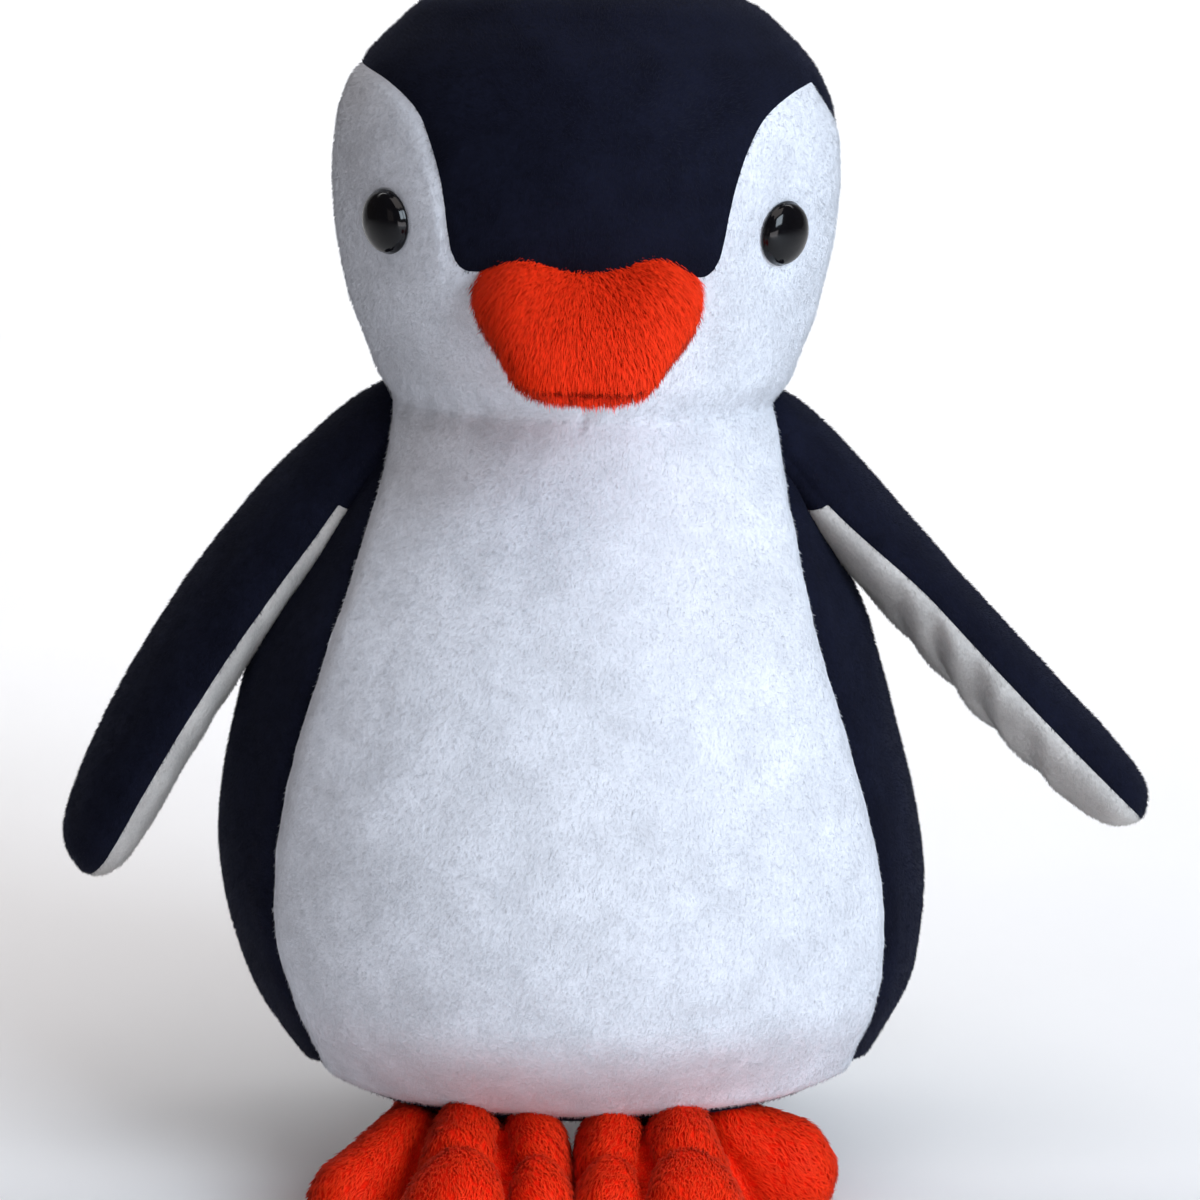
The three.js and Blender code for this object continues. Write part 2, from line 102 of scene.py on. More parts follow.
def even(curve, count):
    """The same curve with its points evenly spaced."""
    step = np.linalg.norm(np.diff(curve, axis=0), axis=1)
    run = np.concatenate([[0], np.cumsum(step)])
    at = np.linspace(0, run[-1], count)
    return np.stack([np.interp(at, run, curve[:, k]) for k in range(curve.shape[1])], axis=1)


def smoothstep(x, low, high):
    """Rises smoothly from 0 at low to 1 at high."""
    t = np.clip((x - low) / (high - low), 0, 1)
    return t * t * (3 - 2 * t)


def unit(v):
    """The same directions at length 1."""
    return v / np.maximum(np.linalg.norm(v, axis=-1, keepdims=True), 1e-12)


def wobble(p, scale, seed=0.0):
    """Smooth noise from -1 to 1 at each point; scale is the size of its bumps."""
    shift = Vector((seed * 17.3, seed * 5.1, seed * 9.7))
    return np.array([noise.noise(Vector(q) / scale + shift) for q in p])


def normals_of(v, tris):
    """A normal at each point, from the triangles around it."""
    face = np.cross(v[tris[:, 1]] - v[tris[:, 0]], v[tris[:, 2]] - v[tris[:, 0]])
    out = np.zeros_like(v)
    for k in range(3):
        np.add.at(out, tris[:, k], face)
    return unit(out)


def distance_to_zero(v, tris, value):
    """Roughly how far each point is from where value is 0, signed, along the surface."""
    tiny, least_slope = 1e-9, 0.05
    a, b, c = (v[tris[:, k]] for k in range(3))
    fa, fb, fc = (value[tris[:, k]] for k in range(3))
    n = np.cross(b - a, c - a)
    area = np.maximum(np.linalg.norm(n, axis=1, keepdims=True), tiny)
    n = n / area
    opposite = ((c - b, fa), (a - c, fb), (b - a, fc))
    slope = sum(np.cross(n, edge) * f[:, None] for edge, f in opposite) / area
    total = np.zeros(len(v))
    weight = np.zeros(len(v))
    for k in range(3):
        np.add.at(total, tris[:, k], np.linalg.norm(slope, axis=1) * area[:, 0])
        np.add.at(weight, tris[:, k], area[:, 0])
    return value / np.maximum(total / np.maximum(weight, tiny), least_slope)


# ------------------------------------------------------------------ surfaces


FIELD = 6  # the first of a point's own fields, after its place and its normal


class Surface:
    """Triangles with any number of values at their points: place v, normal n, then fields."""

    def __init__(self, values, tris):
        self.values = values
        self.tris = tris

    @property
    def v(self):
        return self.values[:, 0:3]

    @property
    def n(self):
        return self.values[:, 3:6]

    def clip(self, value):
        """The part where value, a column's number or an array, is positive, cut where it is 0."""
        least = 1e-6
        f = self.values[:, value] if isinstance(value, int) else value
        f = np.where(np.abs(f) < least, least, f)
        inside = f > 0
        count = inside[self.tris].sum(axis=1)
        kept = [self.tris[count == 3]]
        rows = []
        made = {}

        def crossing(i, j):
            key = (i, j) if i < j else (j, i)
            if key not in made:
                t = f[key[0]] / (f[key[0]] - f[key[1]])
                made[key] = len(self.values) + len(rows)
                rows.append(self.values[key[0]] * (1 - t) + self.values[key[1]] * t)
            return made[key]

        extra = []
        for tri in self.tris[(count == 1) | (count == 2)]:
            alone = 1 if inside[tri].sum() == 1 else 0
            while bool(inside[tri[0]]) != bool(alone):
                tri = np.roll(tri, 1)
            if inside[tri[1]] == inside[tri[0]]:
                tri = np.roll(tri, 1)
            a, b, c = (int(x) for x in tri)
            if alone:
                extra.append((a, crossing(a, b), crossing(a, c)))
            else:
                ab, ac = crossing(a, b), crossing(a, c)
                extra.append((ab, b, c))
                extra.append((ab, c, ac))
        if extra:
            kept.append(np.array(extra))
        values = np.vstack([self.values, rows]) if rows else self.values
        return Surface(values, np.vstack(kept)).packed()

    def packed(self):
        """The same surface without its unused points."""
        used, index = np.unique(self.tris, return_inverse=True)
        return Surface(self.values[used], index.reshape(-1, 3))


def grid_tris(rows, columns):
    """Triangles of a grid of points, in rows, closed round its columns."""
    i = np.arange(rows - 1)[:, None]
    j = np.arange(columns)[None, :]
    a = i * columns + j
    b = i * columns + (j + 1) % columns
    c = a + columns
    d = b + columns
    return np.stack([np.stack([a, b, d], -1), np.stack([a, d, c], -1)], 2).reshape(-1, 3)


def mesh_object(name, v, faces, material, uv=None):
    """A smooth-shaded mesh from points in the toy's frame."""
    mesh = bpy.data.meshes.new(name)
    world = (v + ORIGIN) * MM
    faces = np.asarray(faces)
    size = faces.shape[1]
    mesh.vertices.add(len(world))
    mesh.vertices.foreach_set("co", world.astype(np.float32).ravel())
    mesh.loops.add(faces.size)
    mesh.loops.foreach_set("vertex_index", faces.astype(np.int32).ravel())
    mesh.polygons.add(len(faces))
    mesh.polygons.foreach_set("loop_start", np.arange(0, faces.size, size, dtype=np.int32))
    mesh.polygons.foreach_set("loop_total", np.full(len(faces), size, np.int32))
    mesh.polygons.foreach_set("use_smooth", np.full(len(faces), True))
    if uv is not None:
        layer = mesh.uv_layers.new(name="OFBake")
        layer.data.foreach_set("uv", uv[faces.ravel()].astype(np.float32).ravel())
    mesh.materials.append(material)
    mesh.update()
    mesh.validate()
    obj = bpy.data.objects.new(name, mesh)
    bpy.context.scene.collection.objects.link(obj)
    return obj


# ------------------------------------------------------------------ materials


def new_material(name, **values):
    """A material, its nodes and links, and its shader with the given sockets set."""
    material = bpy.data.materials.new(name)
    material.use_nodes = True
    nodes = material.node_tree.nodes
    shader = nodes["Principled BSDF"]
    for socket, value in values.items():
        shader.inputs[socket.replace("_", " ")].default_value = value
    return material, nodes, material.node_tree.links, shader


def noise_node(nodes, links, scale, detail, roughness=0.5):
    place = nodes.get("Texture Coordinate") or nodes.new("ShaderNodeTexCoord")
    node = nodes.new("ShaderNodeTexNoise")
    node.inputs["Scale"].default_value = scale
    node.inputs["Detail"].default_value = detail
    node.inputs["Roughness"].default_value = roughness
    links.new(place.outputs["Object"], node.inputs["Vector"])
    return node


def ramp_node(nodes, links, source, stops):
    ramp = nodes.new("ShaderNodeValToRGB")
    while len(ramp.color_ramp.elements) < len(stops):
        ramp.color_ramp.elements.new(0.5)
    for element, (place, colour) in zip(ramp.color_ramp.elements, stops):
        element.position = place
        element.color = (*colour, 1)
    links.new(source, ramp.inputs["Fac"])
    return ramp


def cloth_material(name, dark, light, sheen, sheen_colour, bump):
    """Knitted plush: patches where the nap lies differently, over a fine grain of fibre ends."""
    material, nodes, links, shader = new_material(
        name, Roughness=0.95, Sheen_Weight=sheen, Sheen_Roughness=0.45, Sheen_Tint=(*sheen_colour, 1)
    )
    grain_share, patch_share = 0.35, 0.65
    shader.inputs["Specular IOR Level"].default_value = 0.08
    patches = noise_node(nodes, links, scale=55, detail=5, roughness=0.62)
    grain = noise_node(nodes, links, scale=900, detail=3, roughness=0.6)
    both = nodes.new("ShaderNodeMath")
    both.operation = "MULTIPLY_ADD"
    both.inputs[1].default_value = grain_share
    links.new(grain.outputs["Fac"], both.inputs[0])
    scaled = nodes.new("ShaderNodeMath")
    scaled.operation = "MULTIPLY"
    scaled.inputs[1].default_value = patch_share
    links.new(patches.outputs["Fac"], scaled.inputs[0])
    links.new(scaled.outputs[0], both.inputs[2])
    ramp = ramp_node(nodes, links, both.outputs[0], [(0.36, dark), (0.62, light)])
    links.new(ramp.outputs["Color"], shader.inputs["Base Color"])
    bumps = nodes.new("ShaderNodeBump")
    bumps.inputs["Strength"].default_value = bump
    bumps.inputs["Distance"].default_value = 0.0012
    links.new(both.outputs[0], bumps.inputs["Height"])
    links.new(bumps.outputs["Normal"], shader.inputs["Normal"])
    return material


def pile_material(name, root, tip, spread, sheen, sheen_colour):
    """Fibres: darker towards the root, as painted shade deep in the pile, and paler towards the tip, as
    painted light on the lit tips, and each a slightly different shade. Its UV map holds a fibre's own number
    across and the way along it upwards."""
    material, nodes, links, shader = new_material(
        name, Roughness=0.62, Sheen_Weight=sheen, Sheen_Roughness=0.4, Sheen_Tint=(*sheen_colour, 1)
    )
    shader.inputs["Specular IOR Level"].default_value = 0.1
    place = nodes.new("ShaderNodeUVMap")
    place.uv_map = "OFBake"
    split = nodes.new("ShaderNodeSeparateXYZ")
    links.new(place.outputs["UV"], split.inputs[0])
    middle = tuple((a + b) / 2 for a, b in zip(root, tip))
    # The ramp paints shade at each fibre's root and light at its tip.
    ramp = ramp_node(nodes, links, split.outputs["Y"], [(0.0, root), (0.45, middle), (1.0, tip)])
    shade = nodes.new("ShaderNodeMapRange")
    shade.inputs["To Min"].default_value = 1 - spread
    shade.inputs["To Max"].default_value = 1 + spread
    links.new(split.outputs["X"], shade.inputs["Value"])
    mix = nodes.new("ShaderNodeVectorMath")
    mix.operation = "SCALE"
    links.new(ramp.outputs["Color"], mix.inputs[0])
    links.new(shade.outputs["Result"], mix.inputs["Scale"])
    links.new(mix.outputs["Vector"], shader.inputs["Base Color"])
    return material


def plastic_material(name, colour, roughness, ior):
    """Moulded plastic with very slight moulding flow in its gloss."""
    material, nodes, links, shader = new_material(name, IOR=ior)
    flow = noise_node(nodes, links, scale=160, detail=2)
    paler = tuple(c * 1.6 for c in colour)
    ramp = ramp_node(nodes, links, flow.outputs["Fac"], [(0.3, colour), (0.7, paler)])
    links.new(ramp.outputs["Color"], shader.inputs["Base Color"])
    gloss = nodes.new("ShaderNodeMapRange")
    gloss.inputs["To Min"].default_value = roughness * 0.8
    gloss.inputs["To Max"].default_value = roughness * 1.2
    links.new(flow.outputs["Fac"], gloss.inputs["Value"])
    links.new(gloss.outputs["Result"], shader.inputs["Roughness"])
    return material


WHITE_SHEEN, LINING_SHEEN = (0.9, 0.95, 1.0), (1.0, 0.97, 0.93)
# The black pile's root colour, darkened as painted shade, which is also the black cloth's darkest tone.
BLACK_DARKEST_AND_SHADED_ROOT = (0.0027, 0.0032, 0.0085)
# Cloths and piles: name, darkest and palest colour, then sheen and bump or spread and sheen. A pile's
# darkest colour is at its root, as painted shade, and its palest at its tip, as painted light.
WHITE_CLOTH = cloth_material(
    "white_plush_cloth", (0.57, 0.59, 0.64), (0.735, 0.765, 0.83), 0.1, WHITE_SHEEN, 0.4
)
# The lining's cloth is the white plush painted darker and warmer, as painted shade on the side that faces in
# towards the body.
SHADED_LINING_CLOTH = cloth_material(
    "white_plush_lining_shaded_cloth", (0.42, 0.41, 0.40), (0.60, 0.585, 0.565), 0.1, LINING_SHEEN, 0.5
)
BLACK_CLOTH = cloth_material(
    "black_plush_cloth", BLACK_DARKEST_AND_SHADED_ROOT, (0.0062, 0.0076, 0.0185), 0.05, (0.3, 0.36, 0.64), 0.5
)
ORANGE_CLOTH = cloth_material(
    "orange_red_plush_cloth", (0.72, 0.008, 0.001), (0.92, 0.022, 0.003), 0.05, (1.0, 0.4, 0.3), 0.4
)
WHITE_PILE = pile_material(
    "white_plush_pile", (0.61, 0.635, 0.69), (0.755, 0.785, 0.85), 0.06, 0.05, WHITE_SHEEN
)
# The lining's pile is the white pile painted darker and warmer, as painted shade.
SHADED_LINING_PILE = pile_material(
    "white_plush_lining_shaded_pile", (0.46, 0.45, 0.43), (0.62, 0.605, 0.58), 0.06, 0.05, LINING_SHEEN
)
BLACK_PILE = pile_material(
    "black_plush_pile", BLACK_DARKEST_AND_SHADED_ROOT, (0.0074, 0.0088, 0.022), 0.3, 0.055, (0.28, 0.34, 0.62)
)
ORANGE_PILE = pile_material(
    "orange_red_plush_pile", (0.85, 0.010, 0.001), (1.0, 0.050, 0.008), 0.08, 0.06, (1.0, 0.45, 0.35)
)
EYE_PLASTIC = plastic_material("eye_black_plastic", (0.0022, 0.0022, 0.003), 0.11, 1.36)
WASHER_PLASTIC = plastic_material("washer_white_plastic", (0.6, 0.6, 0.58), 0.45, 1.49)

# Each kind of short plush: its slot, its cloth and its pile.
WHITE = ("white_plush", WHITE_CLOTH, WHITE_PILE)
# The lining is the same white plush, with painted shade in its cloth and pile.
LINING = ("white_plush", SHADED_LINING_CLOTH, SHADED_LINING_PILE)
BLACK = ("black_plush", BLACK_CLOTH, BLACK_PILE)


# ------------------------------------------------------------------ pile


MOST_LONG = 21500  # fibres of nine triangles
MOST_SHORT = 64000  # fibres of three triangles

PLUSH = {"length": 1.25, "width": 0.24, "lift": 34, "clump": (7, 0.55)}  # the short black and white pile
SCATTER = 0.22  # how far a fibre strays from the nap
SPREAD = 0.16  # of the fibres' angles, in radians, and of their lengths, as a share
WIDTH_SPREAD = 0.15
THIRDS = (0.0, 2.0944, 4.1888)  # of a turn: each fibre has three sides
ROOT_DEPTH = 0.25  # a fibre starts this far inside the cloth
SOFTNESS = 0.75  # how much a fibre is shaded like the cloth that it stands on
UV_MARGIN = 0.02


def strands(
    name, surface, material, length, width, density, comb, lift, clump,
    droop=0.0, long=False, seed=1, shorter=None,
):
    """Fibres standing on a surface.

    comb gives the way the nap lies at each point and lift the angle that it stands at. clump is
    the size of the tufts that neighbours gather into and how much they do. droop is how much a
    long fibre bends down, and shorter the field that scales its length.
    """
    rng = np.random.default_rng(seed)
    v, n, tris = surface.v, surface.n, surface.tris
    a, b, c = (v[tris[:, k]] for k in range(3))
    area = 0.5 * np.linalg.norm(np.cross(b - a, c - a), axis=1)
    most = MOST_LONG if long else MOST_SHORT
    count = int(min(area.sum() * density, most))
    pick = rng.choice(len(tris), count, p=area / area.sum())
    r1 = np.sqrt(rng.random(count))[:, None]
    r2 = rng.random(count)[:, None]
    wa, wb, wc = 1 - r1, r1 * (1 - r2), r1 * r2
    root = a[pick] * wa + b[pick] * wb + c[pick] * wc
    up = unit(n[tris[pick, 0]] * wa + n[tris[pick, 1]] * wb + n[tris[pick, 2]] * wc)
    flow = comb(root)
    tuft = np.stack([wobble(root, clump[0], seed + k) for k in range(3)], axis=1) * clump[1]
    flow = flow + tuft + rng.normal(0, SCATTER, (count, 3))
    flow = unit(flow - up * np.sum(flow * up, axis=1, keepdims=True))
    angle = math.radians(lift) + rng.normal(0, SPREAD, (count, 1))
    way = up * np.sin(angle) + flow * np.cos(angle)
    reach = length * (1 + rng.normal(0, SPREAD, (count, 1))).clip(0.5, 1.35)
    if shorter is not None:
        reach = reach * surface.values[tris[pick, 0], shorter][:, None]
    side = unit(np.cross(way, rng.normal(0, 1, (count, 3))))
    other = np.cross(way, side)
    ring = [side * math.cos(q) + other * math.sin(q) for q in THIRDS]
    base = root - up * ROOT_DEPTH
    half = width / 2 * (1 + rng.normal(0, WIDTH_SPREAD, (count, 1))).clip(0.6, 1.4)
    tip = root + way * reach
    if long:
        tip = tip + (np.array([0, 0, -1.0]) * droop + flow * 0.25 - up * 0.1) * reach
        bend = root + way * reach * 0.52
        lower, upper = [base + r * half for r in ring], [bend + r * half * 0.8 for r in ring]
        points = np.stack(lower + upper + [tip], axis=1)
        faces = [(0, 1, 4), (0, 4, 3), (1, 2, 5), (1, 5, 4), (2, 0, 3), (2, 3, 5)]
        faces += [(3, 4, 6), (4, 5, 6), (5, 3, 6)]
        along = [0, 0, 0, 0.5, 0.5, 0.5, 1]
    else:
        points = np.stack([base + r * half for r in ring] + [tip], axis=1)
        faces = [(0, 1, 3), (1, 2, 3), (2, 0, 3)]
        along = [0, 0, 0, 1]
    each = points.shape[1]
    index = (np.arange(count) * each)[:, None, None] + np.array(faces)[None]
    own = np.repeat(rng.random(count), each)
    uv = np.stack([own, np.tile(along, count)], axis=1)
    uv = UV_MARGIN + (1 - 2 * UV_MARGIN) * uv
    obj = mesh_object(name, points.reshape(-1, 3), index.reshape(-1, 3), material, uv=uv)
    outward = points - points.mean(axis=1, keepdims=True)
    outward = outward - way[:, None] * np.sum(outward * way[:, None], axis=2, keepdims=True)
    soft = unit(up[:, None] * SOFTNESS + unit(outward) * (1 - SOFTNESS))
    obj.data.normals_split_custom_set_from_vertices(soft.reshape(-1, 3).tolist())
    return obj


def downward(points):
    """The nap of the body and cheeks runs straight down."""
    return np.tile([0.0, 0.0, -1.0], (len(points), 1))


def head_comb(points):
    """The nap of the head runs from the beak up over the crown and down the back."""
    out = np.zeros((len(points), 3))
    crown = smoothstep(points[:, 2], 320, 350)
    out[:, 2] = -1 + 0.9 * crown
    out[:, 1] = crown
    return out


# ------------------------------------------------------------------ body and head skin

# Half widths of the upright pattern at each height, from the base to the crown.
SKIN_PROFILE = [
    (0, 35), (50, 35), (80, 36.5), (91.2, 41), (101, 56), (108.6, 73), (113.4, 98), (112.4, 122),
    (107.3, 147), (97.2, 182), (85.3, 204), (73, 226), (64.8, 242), (62, NECK_SEAM), (65.8, 267),
    (69.4, 277), (73, 287), (77, 305), (78.6, 322), (78, 334), (76, 346), (69.5, 360), (58.6, 371.5),
    (49, 379), (27, 387.5), (0, 391),
]
# Where the middle of the toy lies sideways at each height, as it stands.
CENTRE_LINE = [
    (4.8, 33), (3.8, 56), (3, 73), (0.5, 100), (-1.6, 130), (-2.2, 160), (-1.5, 185), (1, 215),
    (LEAN, 245), (HEAD_MIDDLE, 300), (HEAD_MIDDLE, 400),
]
BASE_RIM = 38  # height of the seam round the base
# The white belly's half width at each height, and how far its middle bows to one side.
BELLY_EDGE = [
    (86, 30), (87, 50), (91.5, 71), (95, 96), (93.5, 120), (86.2, 154), (76.5, 184), (68.3, 213), (63, 238),
    (61, NECK_SEAM), (60, 300),
]
BELLY_ASIDE, BELLY_ASIDE_FROM = 3, 30
# The height of the cap's lower edge at each distance from its middle.
CAP_EDGE = [
    (0, 301), (30, 300.5), (36.5, 301), (40, 306), (41.8, 315), (44, 327), (47.3, 337.5), (52, 347),
    (60.5, 354), (70, 358), (80, 361),
]
CAP_ASIDE = 0.6
# How far back each cheek reaches at each height.
CHEEK_BACK = {
    "left": [(-22, 362), (-17, 351), (6, 338), (24, 322), (31, 300), (26, 255), (22, 230)],
    "right": [(0, 370), (22, 352), (31, 330), (32, 300), (26, 255), (22, 230)],
}
CROWN_SEAM_Y = 14  # the seam over the crown, between the cap and the back of the head
# Folds on the front: start and end as (x, z), width, depth.
CREASES = [
    ((-30, 184), (0, 170), 2.2, 0.42),
    ((14, 171), (24, 168), 2.0, 0.35),
    ((30, 84), (46, 82), 2.2, 0.45),
    ((1, 258), (-1.5, 252), 1.2, 0.6),
]
EYE_X = 59.6
EYE_HEIGHT = 313
DIMPLE_DEPTH, DIMPLE_WIDTH = 0.9, 12  # where an eye pulls the cheek in
NECK_GATHERS = 34
TILT_REACH = 15  # the head's tilt comes in over this much on each side of the neck seam


def along_z(outline, z):
    """The outline's first value at height z."""
    curve = spline(outline, 200)
    order = np.argsort(curve[:, 1])
    return np.interp(z, curve[order, 1], curve[order, 0])


def along_x(outline, x):
    """The outline's height at x."""
    curve = spline(outline, 200)
    return np.interp(x, curve[:, 0], curve[:, 1])


def depth_ratio(z):
    """How deep the body is for its width: less at the bottom, where it rests on the feet."""
    return DEPTH_RATIO - 0.17 * smoothstep(-z, -80, -38)


def posed(q):
    """Lets the body sag aside and tips the head, from the upright pattern."""
    p = q.copy()
    centre = spline(CENTRE_LINE, 200)
    p[:, 0] += np.interp(q[:, 2], centre[:, 1], centre[:, 0])
    angle = HEAD_TILT * smoothstep(q[:, 2], NECK_SEAM - TILT_REACH, NECK_SEAM + TILT_REACH)
    x, z = p[:, 0] - LEAN, q[:, 2] - NECK_SEAM
    p[:, 0] = LEAN + x * np.cos(angle) + z * np.sin(angle)
    p[:, 2] = NECK_SEAM - x * np.sin(angle) + z * np.cos(angle)
    return p


def skin_grid(rows, columns):
    """The upright pattern's skin, as rows of points round it."""
    profile = even(spline(SKIN_PROFILE, 1200), rows)
    profile[:, 0] = np.maximum(profile[:, 0], 0.02)
    around = np.linspace(0, 2 * math.pi, columns, endpoint=False)
    r, z = profile[:, 0][:, None], profile[:, 1][:, None]
    x = r * np.sin(around)[None]
    y = -r * depth_ratio(z) * np.cos(around)[None]
    return np.stack([x, y, np.broadcast_to(z, x.shape)], -1).reshape(-1, 3)


def groove(distance, depth, width):
    """Pulls the cloth in along a seam and lets it swell a little beside it."""
    d = np.abs(distance) / width
    return -depth * np.exp(-(d**1.4)) + 0.1 * depth * np.exp(-((d - 2.4) ** 2))


def crease(q, start, end, width, depth):
    """A shallow fold between two places on the front, given as (x, z)."""
    a, b = np.array(start, float), np.array(end, float)
    at = q[:, [0, 2]]
    t = np.clip(((at - a) @ (b - a)) / ((b - a) @ (b - a)), 0, 1)
    off = at - (a + t[:, None] * (b - a))
    side = off @ np.array([-(b - a)[1], (b - a)[0]]) / np.linalg.norm(b - a)
    d = np.linalg.norm(off, axis=1) / width
    fade = np.sin(np.pi * np.clip(t, 0.05, 0.95)) * (q[:, 1] < 0)
    return depth * fade * (-np.exp(-(d**2)) + 0.8 * np.exp(-((side / width - 1.6) ** 2) - (d / 3) ** 4))


def make_skin():
    """The whole sewn skin of the body and head, with its seams as fields to cut along."""
    rows, columns = ((300, 380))
    q = skin_grid(rows, columns)
    tris = grid_tris(rows, columns)
    normal = normals_of(q, tris)

    up_belly = np.clip((q[:, 2] - BELLY_ASIDE_FROM) / (NECK_SEAM - BELLY_ASIDE_FROM), 0, 1)
    aside = BELLY_ASIDE * np.sin(np.pi * up_belly)
    within = along_z(BELLY_EDGE, q[:, 2]) - np.abs(q[:, 0] - aside)
    belly = distance_to_zero(q, tris, np.minimum(within, -q[:, 1]))
    base = distance_to_zero(q, tris, BASE_RIM - q[:, 2])
    neck = distance_to_zero(q, tris, q[:, 2] - NECK_SEAM)
    cap = distance_to_zero(q, tris, along_x(CAP_EDGE, np.abs(q[:, 0] - CAP_ASIDE)) - q[:, 2])
    left, right = (along_z(CHEEK_BACK[name], q[:, 2]) for name in ("left", "right"))
    rear = distance_to_zero(q, tris, np.where(q[:, 0] > 0, left, right) - q[:, 1])
    face = np.minimum(cap, rear)
    middle = q[:, 0].copy()
    over = q[:, 1] - CROWN_SEAM_Y

    # Each seam draws the cloth in by its own depth and width.
    in_body = (neck < 0) & (base < 0)
    pucker = 1 + 0.35 * wobble(q, 7, 3)
    push = np.zeros(len(q))
    push += groove(neck, SEAM_DEPTH * 1.2, 4.0) * pucker
    push += np.where(neck < 0, 0, groove(face, SEAM_DEPTH * 0.5, 2.2)) * smoothstep(neck, 0, 6)
    push += np.where(in_body, groove(belly, SEAM_DEPTH * 0.9, 2.8) * pucker, 0) * smoothstep(-neck, 0, 6)
    push += groove(base, SEAM_DEPTH, 3.0) * pucker
    back = in_body & (q[:, 1] > 0)
    push += np.where(back, groove(middle, SEAM_DEPTH * 0.8, 2.6), 0)
    chin = (face > 0) & (neck > 0) & (q[:, 1] < 0)
    push += np.where(chin, groove(middle, SEAM_DEPTH * 0.5, 2.2), 0) * smoothstep(-q[:, 2], -275, -262)
    push += np.where((face < 0) & (neck > 0), groove(over, SEAM_DEPTH * 0.5, 2.4), 0)
    # Gathers run away from the neck seam, and the stuffing is slightly uneven.
    around = np.arctan2(q[:, 0], -q[:, 1])
    gathers = np.sin(around * NECK_GATHERS + 2.5 * wobble(q, 25, 5)) * np.exp(-np.abs(neck) / 7)
    push += 0.12 * gathers + 0.9 * wobble(q, 42, 6) + 0.35 * wobble(q, 15, 7)
    for place in CREASES:
        push += crease(q, *place)
    for side in (-1, 1):
        eye = np.array([side * EYE_X, eye_depth(), EYE_HEIGHT])
        push -= DIMPLE_DEPTH * np.exp(-((np.linalg.norm(q - eye, axis=1) / DIMPLE_WIDTH) ** 2))
    q = q + normal * push[:, None]
    v = posed(q)
    n = normals_of(v, tris)
    fields = np.stack([belly, base, neck, face, middle, over], axis=1)
    return Surface(np.hstack([v, n, fields]), tris)


BELLY, BASE, NECK, FACE, MIDDLE, OVER = range(FIELD, FIELD + 6)


def eye_depth():
    """How far forwards, as a y, the upright skin is at the eyes."""
    radius = along_z(SKIN_PROFILE, EYE_HEIGHT)
    return -DEPTH_RATIO * math.sqrt(radius**2 - EYE_X**2)


def row(point):
    """A point of the toy's own frame in the row frame, in metres."""
    return tuple((np.array(point, float) + ORIGIN) * MM)


def on_neck(obj):
    """Bakes a piece's placement into its points."""
    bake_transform(obj)


def cloth_and_pile(name, surface, kind, place, nodes, density, comb=downward, seed=1):
    """One sewn panel of short plush: its cloth and the fibres on it. kind is slot, cloth, pile; its slot is
    not used.
    """
    slot, cloth, pile = kind
    panel = mesh_object(name, surface.v, surface.tris, cloth)
    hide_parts(*nodes)
    fibres = strands(name + "_pile", surface, pile, density=density, comb=comb, seed=seed, **PLUSH)
    for obj in (panel, fibres):
        place(obj)


def on_body(name):
    """Makes a piece ride on one body."""
    return lambda obj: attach(obj, name)


def make_body_and_head():
    """Cuts the skin along its seams into the sewn panels."""
    skin = make_skin()
    lower, upper = skin.clip(-skin.values[:, NECK]), skin.clip(NECK)
    bottom, wall = lower.clip(BASE), lower.clip(-lower.values[:, BASE])
    front, sides = wall.clip(BELLY), wall.clip(-wall.values[:, BELLY])
    left, right = sides.clip(MIDDLE), sides.clip(-sides.values[:, MIDDLE])
    light, dark = upper.clip(FACE), upper.clip(-upper.values[:, FACE])
    left_cheek, right_cheek = light.clip(MIDDLE), light.clip(-light.values[:, MIDDLE])
    crown, back = dark.clip(-dark.values[:, OVER]), dark.clip(OVER)
    for args in (
        ("belly", front, WHITE, on_neck, ["belly_panel", "body_stuffing"], 1.7, downward, 11),
        ("body_left", left, BLACK, on_neck, ["left_body_panel"], 1.3, downward, 12),
        ("body_right", right, BLACK, on_neck, ["right_body_panel"], 1.3, downward, 13),
        ("base", bottom, BLACK, on_body("torso"), ["base_panel"], 0.6, downward, 14),
        ("cheek_left", left_cheek, WHITE, on_neck, ["left_cheek_panel", "head_stuffing"], 1.6, downward, 15),
        ("cheek_right", right_cheek, WHITE, on_neck, ["right_cheek_panel"], 1.6, downward, 16),
        ("crown", crown, BLACK, on_body("head"), ["crown_panel"], 1.6, head_comb, 17),
        ("head_back", back, BLACK, on_neck, ["head_back_panel"], 1.4, head_comb, 18),
    ):
        cloth_and_pile(*args)


# ------------------------------------------------------------------ eyes


EYE_SUNK = 1.1  # how far the eye's flange is pressed into the cheek
EYE_DOME = 5.6
FLANGE_TOP = 1.6


def tipped(v):
    """Head pieces follow the head's tilt."""
    turn = np.array(Matrix.Rotation(HEAD_TILT, 3, "Y"))
    pivot = np.array([HEAD_MIDDLE, 0, NECK_SEAM])
    return (v - [0, 0, NECK_SEAM]) @ turn.T + pivot


